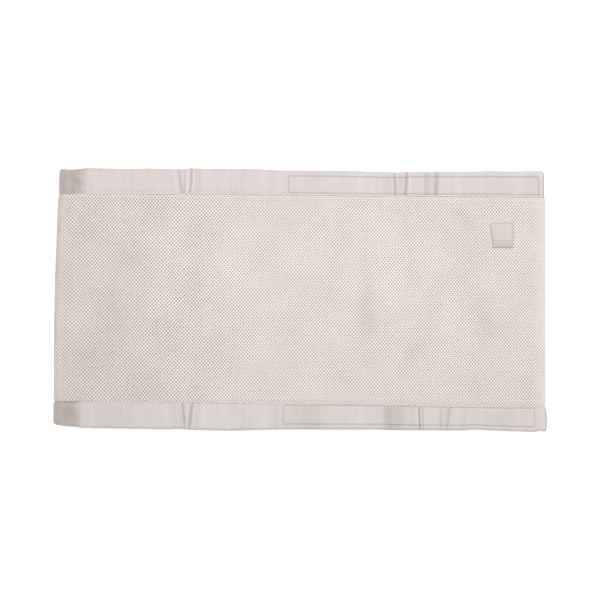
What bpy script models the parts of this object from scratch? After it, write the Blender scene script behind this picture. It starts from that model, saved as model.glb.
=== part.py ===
"""Playpen bumper: a long panel of thick spacer mesh, bound along both long edges with cloth bands.

It lies flat on a surface, folded back and forth into three layers, with a small square label on top.
The frame has +X along the folded length, +Y across the bumper and +Z up, with its origin on the surface
under the middle of the object. All sizes are in metres.

The layers follow one line in the XZ plane: the bottom layer runs to the right, the middle layer comes
back to the left, and the top layer runs to the right again. Every piece is swept along that line.
"""
import math
from collections import namedtuple

import bmesh
import bpy
from mathutils import Vector

SoftSpot = namedtuple("SoftSpot", "x y half_width half_length turn rise")
Crease = namedtuple("Crease", "x half_width depth")

# The panel and its bands, as cut and sewn
MESH_HALF = 0.0040        # half the thickness of the open mesh
PINCHED_HALF = 0.0020     # half its thickness where a band is sewn over it
HALF_HEIGHT = 0.1580      # nominal distance from the middle to a band's outer fold
BAND_WIDTH = 0.0300
SEAM = HALF_HEIGHT - BAND_WIDTH
GAP = 0.0003
BAND_CLOTH = 0.0011       # thickness of the band's doubled cotton
BAND_PUFF = 0.0045        # distance from the panel's middle to the outside of a band
BAND_SHOULDER = 0.0075    # the band starts to round off this far from its outer fold
BAND_CORNER = 0.0020
BAND_CORNER_HALF = 0.0029
INNER_CORNER = 0.0028     # the same corner on the inside of the band's cloth
INNER_CORNER_HALF = 0.0018
SEAM_SLOPE = 0.0060       # the band puffs up over this width beside its seam
PANEL_EDGE = 0.0035       # the mesh ends this far inside the band's outer fold
PANEL_BEVEL = 0.0048

# The stack
BOTTOM_Z = MESH_HALF      # the middle of the bottom layer, whose underside is flat on the surface
MIDDLE_Z = 0.0150
TOP_Z = 0.0265
HIDDEN_END_X = -0.1280    # free end of the bottom layer, under the other two
RIGHT_FOLD_X = 0.2875     # centre of the right fold
TOP_END_X = 0.2993        # free end of the top layer
BAND_PAST_END = 0.0005    # the bands reach this far past the mesh's rounded ends

# The middle layer between the two folds, as (x, z) on its line: it waves a little
MIDDLE_LAYER = ((0.2450, 0.0152), (0.1700, 0.0145), (0.0900, 0.0154), (0.0100, 0.0147), (-0.0500, 0.0151))

# The left fold and the sag beside it, as (x, z) on the line through the middle of the cloth
LEFT_FOLD = (
    (-0.0900, MIDDLE_Z),
    (-0.1250, 0.0140),
    (-0.1650, 0.0112),
    (-0.2150, 0.0082),
    (-0.2600, 0.0058),
    (-0.2845, 0.0078),
    (-0.2962, 0.0142),
    (-0.2922, 0.0216),
    (-0.2735, 0.0258),
    (-0.2400, 0.0256),
    (-0.1850, 0.0248),
    (-0.1440, 0.0248),
    (-0.1310, 0.0252),
    (-0.1180, 0.0262),
    (-0.0900, TOP_Z),
)
STRAIGHT_BY_FOLD = 0.03   # the layers run level for this far beside the left fold's ends

# Outer edges and seams seen from above, as (x, y): the cloth isn't cut or folded quite square
TOP_OUTLINE = ((-0.300, 0.1590), (-0.262, 0.1603), (-0.115, 0.1598), (0.000, 0.1580), (0.120, 0.1557),
               (0.180, 0.1567), (0.300, 0.1568))
TOP_SEAM = ((-0.300, 0.1290), (-0.100, 0.1288), (0.100, 0.1268), (0.300, 0.1254))
BOTTOM_OUTLINE = ((-0.300, -0.1544), (-0.255, -0.1567), (-0.100, -0.1588), (0.000, -0.1580),
                  (0.150, -0.1591), (0.220, -0.1586), (0.300, -0.1606))
BOTTOM_SEAM = ((-0.300, -0.1230), (-0.150, -0.1248), (0.000, -0.1270), (0.300, -0.1310))

# The left fold leans: it stands in at the top band, and straight below LEAN_LOW_Y
LEAN = 0.0075
LEAN_LOW_Y = -0.120
LEAN_FULL_Y = 0.218
LEAN_FROM_X = -0.140
FOLD_X = -0.300

# The lower layers lie a little off the top one in Y, and come to it over these stretches of X
MIDDLE_DRIFT = -0.0009
BOTTOM_DRIFT = 0.0008
DRIFT_AT_LEFT = (-0.295, -0.260)
DRIFT_AT_RIGHT = (0.200, RIGHT_FOLD_X)

# Soft troughs and ridges in the top layer, which begin past the left fold
SOFT_SPOTS = (
    SoftSpot(0.0790, -0.0190, 0.0150, 0.0850, 0.0, -0.0015),
    SoftSpot(0.1350, -0.0730, 0.0140, 0.0520, -24.0, -0.0014),
    SoftSpot(0.2230, -0.0290, 0.0230, 0.0450, -8.0, -0.0015),
    SoftSpot(0.1950, 0.1000, 0.0180, 0.0420, 40.0, -0.0011),
    SoftSpot(-0.2260, -0.0580, 0.0300, 0.0480, 0.0, -0.0009),
    SoftSpot(-0.1040, -0.0630, 0.0180, 0.0360, 0.0, -0.0010),
    SoftSpot(0.1120, 0.0200, 0.0220, 0.0900, 0.0, 0.0010),
    SoftSpot(0.1800, -0.0200, 0.0230, 0.0700, -12.0, 0.0010),
    SoftSpot(-0.0780, 0.0250, 0.0300, 0.0900, 0.0, 0.0007),
)
FLAT_BY_SEAM = 0.026      # they fade out over this width before the seams
SOFT_FROM_X = (-0.285, -0.240)

# Creases across the bands on the top layer
TOP_CREASES = (
    Crease(-0.1435, 0.0035, 0.0008),
    Crease(-0.1320, 0.0035, 0.0011),
    Crease(-0.0130, 0.0030, 0.0007),
    Crease(0.1300, 0.0040, 0.0011),
    Crease(0.1570, 0.0060, 0.0007),
)
BOTTOM_CREASES = (
    Crease(-0.1440, 0.0040, 0.0009),
    Crease(-0.1330, 0.0035, 0.0010),
    Crease(-0.0205, 0.0030, 0.0007),
    Crease(0.1090, 0.0100, 0.0005),
    Crease(0.1462, 0.0040, 0.0011),
)

# The label, a woven square sewn flat on the top layer
LABEL_MIDDLE = (0.2462, 0.0800)
LABEL_WIDTH = 0.0290
LABEL_HEIGHT = 0.0308
LABEL_SLANT = 0.0050      # its left edge slants in by this towards the bottom
LABEL_CLOTH = 0.0010

# How finely the solids follow their curves
TOP_SPACING = 0.0150
CURVE_STEPS = 2
ARC_STEPS = 8
LABEL_STEPS = 5

# The mesh's section between the seams, as (across, share of its thickness)
PANEL_FACE = ((0.026, 1.0), (0.052, 1.0), (0.078, 1.0), (0.103, 1.0), (0.121, 0.94))
PANEL_BACK = ((0.000, 1.0), (0.050, 1.0), (0.112, 1.0))
# Its rounded free ends, as (share of the rounding's reach, share of the thickness)
ROUNDED_END = ((0.45, 0.91), (0.80, 0.68), (1.00, 0.20))

MESH_COLOUR = (0.72, 0.66, 0.60, 1.0)
BAND_COLOUR = (0.71, 0.66, 0.64, 1.0)
LABEL_COLOUR = (0.69, 0.64, 0.58, 1.0)
SHARP_ANGLE = math.radians(50)


def ease(low, high, value):
    """0 below low, 1 above high and a smooth step between them."""
    t = min(max((value - low) / (high - low), 0.0), 1.0)
    return t * t * (3.0 - 2.0 * t)


def along(table, x):
    """The table's y at x, eased from one point to the next."""
    if x <= table[0][0]:
        return table[0][1]
    for (x0, y0), (x1, y1) in zip(table, table[1:]):
        if x <= x1:
            return y0 + (y1 - y0) * ease(x0, x1, x)
    return table[-1][1]


def closeness(spot, x, y):
    """1 in the middle of a long soft spot, and 0 at its edge."""
    angle = math.radians(spot.turn)
    dx, dy = x - spot.x, y - spot.y
    across = (dx * math.cos(angle) + dy * math.sin(angle)) / spot.half_width
    length = (dy * math.cos(angle) - dx * math.sin(angle)) / spot.half_length
    return 1.0 - ease(0.0, 1.0, math.hypot(across, length))


def soft_folds(x, y):
    """How far the top layer lies above or below its own level."""
    height = sum(spot.rise * closeness(spot, x, y) for spot in SOFT_SPOTS)
    return height * (1.0 - ease(SEAM - FLAT_BY_SEAM, SEAM, abs(y)))


class Station:
    """One place on the line that the layers follow, with the direction of the cloth's face there."""

    def __init__(self, x, z, on_top=0.0, on_floor=False, drift=0.0, swell=1.0):
        self.x, self.z = x, z
        self.face = (0.0, 1.0)
        self.on_top, self.on_floor = on_top, on_floor
        self.drift, self.swell = drift, swell


def arc(centre_x, centre_z, radius, start, end, steps):
    points = []
    for i in range(steps + 1):
        angle = math.radians(start + (end - start) * i / steps)
        points.append((centre_x + radius * math.cos(angle), centre_z + radius * math.sin(angle)))
    return points


def flowing(points, steps):
    """A smooth curve through the points, from the second to the last but one."""
    found = []
    for before, start, end, after in zip(points, points[1:], points[2:], points[3:]):
        for i in range(steps):
            t = i / steps
            found.append(tuple(
                0.5 * (2 * b + (c - a) * t + (2 * a - 5 * b + 4 * c - d) * t * t
                       + (3 * b - a - 3 * c + d) * t ** 3)
                for a, b, c, d in zip(before, start, end, after)))
    found.append(points[-2])
    return found


def top_places():
    """Where the top layer's stations lie: evenly, and closer at the creases of the bands."""
    start, end = LEFT_FOLD[-1][0], TOP_END_X - MESH_HALF
    count = round((end - start) / TOP_SPACING)
    even = [start + (end - start) * i / count for i in range(1, count + 1)]
    marked = []
    for crease in TOP_CREASES + BOTTOM_CREASES:
        if crease.x > start:
            marked += [crease.x - crease.half_width, crease.x, crease.x + crease.half_width]
    kept = [x for x in even if min(abs(x - m) for m in marked) > TOP_SPACING / 4]
    places = []
    for x in sorted(kept + marked):
        if not places or x - places[-1] > TOP_SPACING / 10:
            places.append(x)
    return places


def set_layer(station, past_right_fold, past_left_fold):
    """Says which layer a station is on, and so how far it drifts and whether the soft folds reach it."""
    if past_left_fold:
        station.on_top = ease(*SOFT_FROM_X, station.x)
        station.drift = MIDDLE_DRIFT * (1.0 - ease(*DRIFT_AT_LEFT, station.x))
    elif past_right_fold:
        near_fold = ease(*DRIFT_AT_RIGHT, station.x)
        station.drift = MIDDLE_DRIFT * (1.0 - near_fold) + BOTTOM_DRIFT * near_fold
    else:
        station.drift = BOTTOM_DRIFT


def layer_line():
    """The stations from the hidden end of the bottom layer to the free end of the top one."""
    radius = (MIDDLE_Z - BOTTOM_Z) / 2
    bottom = [(HIDDEN_END_X + share * (RIGHT_FOLD_X - HIDDEN_END_X), BOTTOM_Z)
              for share in (0.0, 0.25, 0.5, 0.75)]
    right = arc(RIGHT_FOLD_X, BOTTOM_Z + radius, radius, -90, 90, ARC_STEPS)
    ahead = (LEFT_FOLD[0][0] + STRAIGHT_BY_FOLD, MIDDLE_Z)
    beyond = (LEFT_FOLD[-1][0] + STRAIGHT_BY_FOLD, TOP_Z)
    left = flowing((ahead,) + LEFT_FOLD + (beyond,), CURVE_STEPS)
    top = [(x, TOP_Z) for x in top_places()]
    line = [Station(x, z) for x, z in bottom + right + list(MIDDLE_LAYER) + left + top]
    right_fold = len(bottom) + len(right) // 2
    left_fold = min(range(len(line)), key=lambda i: line[i].x)
    for i, station in enumerate(line):
        set_layer(station, i > right_fold, i > left_fold)
        station.on_floor = i <= len(bottom)
        if not station.on_floor:
            before, after = line[i - 1], line[min(i + 1, len(line) - 1)]
            dx, dz = after.x - before.x, after.z - before.z
            length = math.hypot(dx, dz)
            station.face = (-dz / length, dx / length)
    return line


def real_y(x, across):
    """Where a nominal place across the bumper really lies, between its seams and outlines."""
    high, low = along(TOP_SEAM, x), along(BOTTOM_SEAM, x)
    if across > SEAM:
        return high + (across - SEAM) * (along(TOP_OUTLINE, x) - high) / BAND_WIDTH
    if across < -SEAM:
        return low + (across + SEAM) * (low - along(BOTTOM_OUTLINE, x)) / BAND_WIDTH
    return low + (high - low) * (across + SEAM) / (2 * SEAM)


def place(station, across, off):
    """The point at a nominal place across the bumper and a distance off the middle of the cloth."""
    x = station.x + station.face[0] * off
    z = station.z + station.face[1] * off
    y = real_y(x, across)
    z += station.on_top * soft_folds(x, across)
    x += LEAN * ease(LEAN_LOW_Y, LEAN_FULL_Y, y) * (1.0 - ease(FOLD_X, LEAN_FROM_X, x))
    return Vector((x, y + station.drift, z))


def with_ends(line, ends):
    """The line with more stations past both ends, given as (distance, swell)."""
    made = list(line)
    for first, towards in ((line[0], -1.0), (line[-1], 1.0)):
        for distance, swell in ends:
            station = Station(first.x + towards * distance, first.z, first.on_top, first.on_floor,
                              first.drift, swell)
            made.insert(0 if towards < 0 else len(made), station)
    return made


def close_end(shape, ring, hollow):
    """Closes the end of a sweep, between the outer and the inner half of the ring where it is hollow."""
    if hollow:
        for i in range(len(ring) // 2 - 1):
            shape.faces.new((ring[i], ring[i + 1], ring[-i - 2], ring[-i - 1]))
    else:
        shape.faces.new(ring)


def swept(name, line, ring_at, hollow, colour, roughness):
    """One closed solid: a ring of points at each station, joined to the next, and closed at both ends."""
    shape = bmesh.new()
    rings = []
    for station in line:
        rings.append([shape.verts.new(place(station, across, off)) for across, off in ring_at(station)])
    count = len(rings[0])
    for ring, following in zip(rings, rings[1:]):
        for i in range(count):
            j = (i + 1) % count
            shape.faces.new((ring[i], ring[j], following[j], following[i]))
    close_end(shape, rings[0][::-1], hollow)
    close_end(shape, rings[-1], hollow)
    finish_object(name, shape, colour, roughness)


def finish_object(name, shape, colour, roughness):
    bmesh.ops.triangulate(shape, faces=shape.faces[:])
    bmesh.ops.recalc_face_normals(shape, faces=shape.faces[:])
    if shape.calc_volume(signed=True) < 0:
        bmesh.ops.reverse_faces(shape, faces=shape.faces[:])
    mesh = bpy.data.meshes.new(name)
    shape.to_mesh(mesh)
    shape.free()
    mesh.shade_smooth()
    mesh.set_sharp_from_angle(angle=SHARP_ANGLE)
    bpy.context.scene.collection.objects.link(bpy.data.objects.new(name, mesh))
    material = bpy.data.materials.new(name)
    material.use_nodes = True
    surface = material.node_tree.nodes["Principled BSDF"]
    surface.inputs["Base Color"].default_value = colour
    surface.inputs["Roughness"].default_value = roughness
    surface.inputs["Metallic"].default_value = 0.0
    mesh.materials.append(material)


def panel_ring(station):
    """The mesh panel's section: full between the seams, and pinched thin inside the bands."""
    full = station.swell * MESH_HALF
    pinch = station.swell * PINCHED_HALF
    edge = HALF_HEIGHT - PANEL_EDGE
    rim = [(SEAM - SEAM_SLOPE / 4, pinch), (edge - PANEL_BEVEL, pinch), (edge, 0.0)]
    face = [(across, full * share) for across, share in PANEL_FACE] + rim
    back = [(across, -off) for across, off in reversed(rim[:-1])]
    back += [(across, -full * share) for across, share in reversed(PANEL_BACK)]
    back_left = [(-across, off) for across, off in reversed(back[:-1])]
    face_left = [(-across, off) for across, off in reversed(face)]
    return [(0.0, full)] + face + back + back_left + face_left


def crease_depth(creases, station):
    depth = sum(c.depth * (1.0 - ease(0.0, c.half_width, abs(station.x - c.x))) for c in creases)
    return depth * station.on_top


def band_ring(side, creases):
    """The section of a band: cloth folded round the panel's long edge, puffed between seam and fold."""
    inside, outside = PINCHED_HALF + GAP, PINCHED_HALF + GAP + BAND_CLOTH
    slope, shoulder = SEAM + SEAM_SLOPE, HALF_HEIGHT - BAND_SHOULDER
    corner, inner_corner, fold = HALF_HEIGHT - BAND_CORNER, HALF_HEIGHT - INNER_CORNER, HALF_HEIGHT

    def ring_at(station):
        dip = crease_depth(creases, station)
        face = BAND_PUFF - dip
        back = MESH_HALF if station.on_floor else BAND_PUFF
        outer = [(SEAM, outside), (slope, face), (shoulder, face), (corner, BAND_CORNER_HALF - dip / 2),
                 (fold, 0.0), (corner, -BAND_CORNER_HALF), (shoulder, -back), (slope, -back),
                 (SEAM, -outside)]
        inner = [(SEAM, -inside), (slope, BAND_CLOTH - back), (shoulder, BAND_CLOTH - back),
                 (inner_corner, -INNER_CORNER_HALF), (fold - BAND_CLOTH, 0.0),
                 (inner_corner, INNER_CORNER_HALF - dip / 2), (shoulder, face - BAND_CLOTH),
                 (slope, face - BAND_CLOTH), (SEAM, inside)]
        return [(side * across, off) for across, off in outer + inner]
    return ring_at


def outer_loop(rows):
    """The points round the edge of a grid of rows, in order."""
    right = [row[-1] for row in rows[1:-1]]
    left = [row[0] for row in rows[-2:0:-1]]
    return rows[0] + right + rows[-1][::-1] + left


def label_patch():
    """A thin square of cloth that follows the top layer just above the mesh."""
    shape = bmesh.new()
    sheets = []
    for off in (MESH_HALF + GAP, MESH_HALF + GAP + LABEL_CLOTH):
        rows = []
        for i in range(LABEL_STEPS + 1):
            up = i / LABEL_STEPS
            left = LABEL_SLANT * (1.0 - up) - LABEL_WIDTH / 2
            row = []
            for j in range(LABEL_STEPS + 1):
                x = LABEL_MIDDLE[0] + left + (LABEL_WIDTH / 2 - left) * j / LABEL_STEPS
                y = LABEL_MIDDLE[1] + (up - 0.5) * LABEL_HEIGHT
                row.append(shape.verts.new((x, y, TOP_Z + off + soft_folds(x, y))))
            rows.append(row)
        for low, high in zip(rows, rows[1:]):
            for j in range(LABEL_STEPS):
                shape.faces.new((low[j], low[j + 1], high[j + 1], high[j]))
        sheets.append(outer_loop(rows))
    under, over = sheets
    for i in range(len(under)):
        j = (i + 1) % len(under)
        shape.faces.new((under[i], under[j], over[j], over[i]))
    finish_object("label_patch", shape, LABEL_COLOUR, 0.8)


def main():
    for obj in list(bpy.data.objects):
        bpy.data.objects.remove(obj)
    line = layer_line()
    rounded = with_ends(line, [(MESH_HALF * reach, swell) for reach, swell in ROUNDED_END])
    swept("mesh_panel", rounded, panel_ring, False, MESH_COLOUR, 0.95)
    bound = with_ends(line, [(MESH_HALF + BAND_PAST_END, 1.0)])
    swept("band_top", bound, band_ring(1.0, TOP_CREASES), True, BAND_COLOUR, 0.6)
    swept("band_bottom", bound, band_ring(-1.0, BOTTOM_CREASES), True, BAND_COLOUR, 0.6)
    label_patch()


main()
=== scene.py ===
"""Looks of the playpen bumper: open spacer mesh, its cotton bands, their stitching and the label.

The cloth follows the same line of layers as the solids, from the hidden end of the bottom layer, round the
right fold, back to the left fold and along the top layer to its free end. Lengths are in metres, and tables
passed to metres() in millimetres. A place on the cloth is given by its length along that line, its place
across the bumper and its distance off the line.
"""
import math
from collections import namedtuple

import bpy
import numpy as np
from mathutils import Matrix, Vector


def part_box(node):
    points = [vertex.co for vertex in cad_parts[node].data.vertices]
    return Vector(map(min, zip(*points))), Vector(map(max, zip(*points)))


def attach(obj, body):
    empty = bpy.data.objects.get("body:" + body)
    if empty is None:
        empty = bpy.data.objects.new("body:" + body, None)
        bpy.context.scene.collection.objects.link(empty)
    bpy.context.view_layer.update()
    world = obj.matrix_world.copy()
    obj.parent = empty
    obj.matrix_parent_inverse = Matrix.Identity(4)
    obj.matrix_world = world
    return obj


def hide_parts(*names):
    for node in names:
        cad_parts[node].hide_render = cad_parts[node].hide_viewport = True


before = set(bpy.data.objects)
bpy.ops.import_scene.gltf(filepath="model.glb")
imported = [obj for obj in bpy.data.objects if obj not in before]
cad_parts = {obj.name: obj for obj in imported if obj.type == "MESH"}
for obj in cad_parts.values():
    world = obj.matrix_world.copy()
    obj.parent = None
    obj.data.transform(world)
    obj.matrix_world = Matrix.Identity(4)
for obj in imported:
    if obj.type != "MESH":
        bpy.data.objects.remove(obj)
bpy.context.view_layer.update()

Bump = namedtuple("Bump", "height strength distance")
joined = np.concatenate


def metres(*rows):
    """A table given in millimetres."""
    return tuple(tuple(value / 1000 for value in row) for row in rows)


# The panel and its bands, as in the solids
MESH_HALF = 0.004
BAND_WIDTH = 0.03
SEAM = 0.158 - BAND_WIDTH
NOMINAL = (-SEAM - BAND_WIDTH, -SEAM, SEAM, SEAM + BAND_WIDTH)
PINCHED_HALF = 0.0028     # a little more than in the solids, so that the seams lie in a shallower dip
GAP = 0.0003
BAND_CLOTH = 0.0011
BAND_PUFF = 0.0045
SEAM_SLOPE = (-0.002, 0.006)
ROUNDING = 0.0052
SQUARENESS = 2.5     # 2 rounds the outer fold as an ellipse, and more makes it squarer
PANEL_EDGE = 0.1545
PANEL_BEVEL = 0.0048
PINCH = (0.123, 0.13)

# The stack
BOTTOM_Z = MESH_HALF
MIDDLE_Z = 0.015
TOP_Z = 0.0265
HIDDEN_END_X = -0.128
RIGHT_FOLD_X = 0.2875
TOP_END_X = 0.3001
BAND_PAST_END = -0.0003
MIDDLE_LAYER = metres((245, 15.2), (170, 14.5), (90, 15.4), (10, 14.7), (-50, 15.1))
LEFT_FOLD = metres((-90, 15), (-125, 14), (-165, 11.2), (-215, 8.2), (-260, 5.8), (-284.5, 7.8),
    (-296.2, 14.2), (-292.2, 21.6), (-273.5, 25.8), (-240, 25.6), (-185, 24.8), (-144, 24.8), (-131, 25.2),
    (-118, 26.2), (-90, 26.5))
STRAIGHT_BY_FOLD = 0.03
LINE_STEP = 0.0005

# Outer edges and seams of the top layer, as (x, y)
TOP_OUTLINE = metres((-300, 161.8), (-285, 160.4), (-277, 160.6), (-266, 161.6), (-250, 161.2),
    (-205, 160.4), (-190, 161.1), (-165, 160.6), (-149, 160.2), (-132, 161.3), (-115, 160.7), (-60, 160.3),
    (-20, 158.6), (40, 158.3), (70, 157.6), (95, 156.6), (120, 156.2), (135, 156.8), (155, 157.2),
    (215, 157.3), (232, 158), (250, 157.4), (300, 157.5))
TOP_SEAM = metres((-300, 130.8), (-276, 130.6), (-258, 129.2), (-100, 128.8), (100, 126.8), (300, 125.4))
BOTTOM_OUTLINE = metres((-300, -151.8), (-286, -153.3), (-276, -154.4), (-266, -156.2), (-240, -156.7),
    (-200, -157.2), (-165, -157.9), (-150, -157.2), (-130, -158.4), (-90, -159.2), (-20, -157.8),
    (20, -157.8), (90, -157.9), (130, -158.7), (195, -159), (210, -158.1), (240, -159.6), (262, -160.5),
    (285, -161.2), (292, -160.4), (300, -160.8))
BOTTOM_SEAM = metres((-300, -123), (-150, -124.8), (0, -127), (300, -131))
LEAN = 0.0075
LEAN_Y = (-0.12, 0.218)
FOLD_X = -0.3
LEAN_FROM_X = -0.14
# How much further out the left fold stands than its lean, as (y, distance)
FOLD_OUT = metres((-125, 0.9), (-100, 0.9), (-60, 1.5), (-20, 2.1), (20, 2.4), (90, 2.2), (120, 1.9),
    (129, 1.6), (133.5, 0.6), (160, 0.6))
FOLD_OUT_TO_X = -0.27
MIDDLE_DRIFT = -0.0009
BOTTOM_DRIFT = 0.0008
DRIFT_AT_LEFT = (-0.295, -0.26)
DRIFT_AT_RIGHT = (0.2, RIGHT_FOLD_X)

# Soft troughs and ridges in the top layer: x, y, half width, half length and rise in millimetres, and turn
SOFT_SPOTS = ((79, -19, 17, 85, -2.1, 0), (135, -73, 14, 52, -1.4, -24), (223, -29, 23, 45, -1.5, -8),
    (195, 100, 18, 42, -1.1, 40), (200, 50, 42, 100, -1.1, 0), (-226, -58, 30, 48, -0.9, 0),
    (-104, -63, 18, 36, -1, 0), (112, 20, 22, 90, 1, 0), (180, -20, 23, 70, 1, -12),
    (-78, 25, 30, 90, 0.7, 0))
LUMPS = 44
LUMPS_TO = (0.29, 0.115)
LUMP_RISE = 0.00035
LUMP_SIZE = (0.016, 0.04)
FLAT_BY_SEAM = 0.026
SOFT_FROM_X = (-0.285, -0.24)

# The knitted face: columns of holes stand across the bumper, rows run along it
COLUMN_PITCH = ((-0.3, 0.0043), (-0.185, 0.00428), (-0.04, 0.00394), (0.08, 0.00396), (0.18, 0.00374),
    (0.3, 0.0037))
ROW_PITCH = ((-0.3, 0.0046), (0.3, 0.00452))
COLUMN_LEAN = math.tan(math.radians(1.3))
ROW_TILT = -math.tan(math.radians(0.35))
NET_HALF_HEIGHT = 0.15
HOLE_WIDTH = 0.0018
HOLE_HEIGHT = 0.0021
HOLE_SIZE_ALONG = ((-0.3, 0.4), (-0.293, 0.62), (-0.284, 0.98), (-0.268, 1.16), (-0.24, 1.14),
    (-0.135, 0.96), (-0.085, 0.72), (-0.04, 0.59), (0.15, 0.68), (0.28, 0.73), (0.3, 0.5))
HOLE_SIZE_ACROSS = ((-0.13, 1.1), (-0.06, 1.06), (0.04, 1), (0.13, 0.98))
HOLE_DRIFT = 0.07
HOLE_WAVES = ((61.0, 23.0, 0.0), (-17.0, 57.0, 1.3))     # turns by x, by y and to start with
HOLE_CORNERS = 6
HOLE_RIM_DIP = 0.0006
KNOT_RISE = 0.00012
KNIT_UNEVEN = 0.00005
HOLE_UNEVEN = 0.035
KNIT_PAST_SEAM = 0.0014
NET_LEAD = 0.05
NET_START_FADE = 0.006
SIDE_NET_REACH = 0.034

# Painted shade and painted light on the knit: how much darker it looks than its colour, in steps of a full
# trough; below 0 it is painted lighter
TROUGH_FULL_DEPTH = 0.0014
TROUGH_LIMIT = 1.5
KNIT_PAINTED_SHADE = ((-0.292, 0.7), (-0.266, -1.1), (-0.135, -0.5), (-0.085, 0.6), (-0.04, 1.3), (0.18, 0.7),
    (0.3, 0.6))
DARKER_STEP = 0.5
DARKER_UPWARDS = ((0.06, 0.11), (0.119, 0.1245))
# How much of the knit's cream tint shows, as (x, share), and how much less towards the top seam
KNIT_WARMTH = ((-0.16, 0.1), (-0.11, 0.8), (0.03, 0.95), (0.05, 0.6), (0.08, 0.35), (0.12, 0.45),
    (0.145, 0.95), (0.25, 0.95), (0.285, 0.45))
WARM_BELOW = (0.07, 0.12)
COOLER_ABOVE = 0.7

# The thick middle of the mesh
PILE_DEPTH = 0.0016       # from the knitted face down to the pile that shows through its holes
THIN_PILE = 0.0003
DEEPEST_PILE = 0.8        # as a share of the half thickness
END_TUCK = 0.38           # how much of its free end's rounding the panel loses inside the bands
END_TURN = 80.0
END_UNCOVERED = (0.3, 0.7)
BODY_MIDDLE = 0.112
BODY_BY_SEAM = np.array((116.5, 119, 121, 123, 125, 127.2, 133, 142, 149.7, 152, 153.6)) / 1000

# The bands' creases on the top layer in millimetres: x at the seam and at the outer edge, bow between them,
# half width, depth and lip. The hollows are as wide at the seam as at the edge: x, half width and depth.
TOP_CREASES = metres((-144, -148.8, -0.8, 3.4, 0.75, 0.2), (-141.4, -142.4, 0.6, 1.8, 0.8, 0.1),
    (-135, -133, 0.8, 1.9, 1, 0.3), (116, 114, 0.6, 2, 1, 0.3), (123.5, 124, 0, 8, 0.55, 0),
    (128, 129, 1, 2.6, 1.1, 0.3), (152.5, 152, 0, 1.2, 0.65, 0.2), (156, 155.5, 0, 1.2, 0.5, 0.1),
    (163, 164, 0, 13, 0.5, 0), (165.5, 166.5, 0, 3.4, 0.75, 0.2))
TOP_HOLLOWS = metres((-215, 45, 0.16), (-122.5, 5, 0.3), (109, 15, 0.4), (154.5, 6, 0.3), (235, 70, 0.18),
    (284, 15, 0.35))
BOTTOM_CREASES = metres((-159.8, -158, 0, 3, 0.3, 0.1), (-154, -153, 0, 5.5, 0.35, 0),
    (-148, -145, 0, 1.8, 0.5, 0.1), (-144, -141, 0, 2.2, 0.9, 0.3), (-131.8, -135.8, 0, 2.4, 1, 0.3),
    (-29, -28, 0, 6, 0.45, 0), (106, 109, 0, 9, 0.3, 0), (137, 138, 0, 8, 0.32, 0),
    (144.7, 145.9, 0.4, 1.5, 1.6, 0.4), (148.6, 149.6, 0.4, 1, 0.7, 0.2), (150, 150, 0, 2.4, 0.45, 0.1),
    (172, 171.5, 0, 2.2, 0.45, 0.1), (178, 176, 0, 15, 0.4, 0), (182.8, 178.6, 0, 2.4, 0.7, 0.2))
BOTTOM_HOLLOWS = metres((-226, 62, 0.42), (-139, 16, 0.35), (7, 44, 0.5), (111, 24, 0.6), (122, 20, 0.4),
    (198, 15, 0.26), (250, 55, 0.3))
LIP_AWAY = 1.7            # from the middle of its crease, in half widths
LIP_WIDTH = 0.9
TOP_STITCHING = (-0.014, 0.291, 0.0024, 0.0227)
BOTTOM_STITCHING = (-0.0207, 0.286, 0.0012, 0.0241)
GROOVE_HALF = 0.0012
GROOVE_DEPTH = 0.0005

# The bands' low puckers and waves. A wave is its rise and two pairs of turns, by x and by t.
PUCKER_PITCH = 0.0068
PUCKER_RISE = 0.00024
PUCKER_REACH = 0.01
PUCKER_START = 0.002
PUCKER_SWAY = (2.2, 31.0)
PUCKER_SLANT = 90.0
PUCKER_PATCHES = (47.0, 19.0)
WAVES = ((0.00022, (83.0, 40.0), (29.0, 0.0)), (0.00011, (171.0, -120.0), (0.0, 150.0)))

# The bands' section, by distance from the seam, and their ends
BAND_FRONT = np.array((0, 0.6, 1.4, 2.4, 3.5, 4.6, 5.8, 7.2, 8.8, 10.4, 12.2, 14, 15.8, 17.6, 19.4, 20.8,
    22, 22.8, 23.3, 23.8, 24.3)) / 1000
BAND_BACK = np.array((20, 13, 6, 3, 0)) / 1000
SEAM_ROLL = np.array((0.8, 0.6, 0.3, 0.1)) / 1000
START_ROUNDING = 0.001
BAND_END_STEPS = (0.2, 0.4, 0.6, 0.8, 1.0)
RELIEF_FROM_X = (-0.299, -0.285)
FLOOR_TO_FOLD = 0.008
TOP_BAND_END = metres((0, -2.1), (24, -1.9), (27.5, -2.4), (30, -4.8))
BOTTOM_BAND_END = metres((0, 0.4), (7, 1), (13, 1.5), (24, 1.4), (30, 0.2))

# Where the bands look darker or lighter: painted shade in their creases and hollows, over the knit's holes
# pressed through, round the left fold, at the top band's outer edge, as a painted shadow along the bottom
# seam and just before their ends, and painted light on the creases' lips, by the top seam and at the bottom
# band's outer edge
CREASE_FULL_DEPTH = 0.0013
CREASE_POWER = 1.2
LIP_HIGHLIGHT = 0.28
LIP_FULL_RISE = 0.00025
SEAM_PAINTED_LIGHT_TO = 0.0034
SEAM_SHADOW = 0.36
SEAM_SHADOW_FADE = (0.0008, 0.0027)
SEAM_SHADOW_MORE = 1.5
SEAM_SHADOW_MORE_TO = (-0.279, -0.262)
EDGE_SHADE = 0.3
EDGE_SHADE_FROM = (0.025, 0.028)
EDGE_PAINTED_LIGHT = 0.35
EDGE_PAINTED_LIGHT_FROM = (0.025, 0.0272)
END_SHADE_REACH = (0.0006, 0.002)
PRINT_REACH = (0.001, 0.0055)
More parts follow.
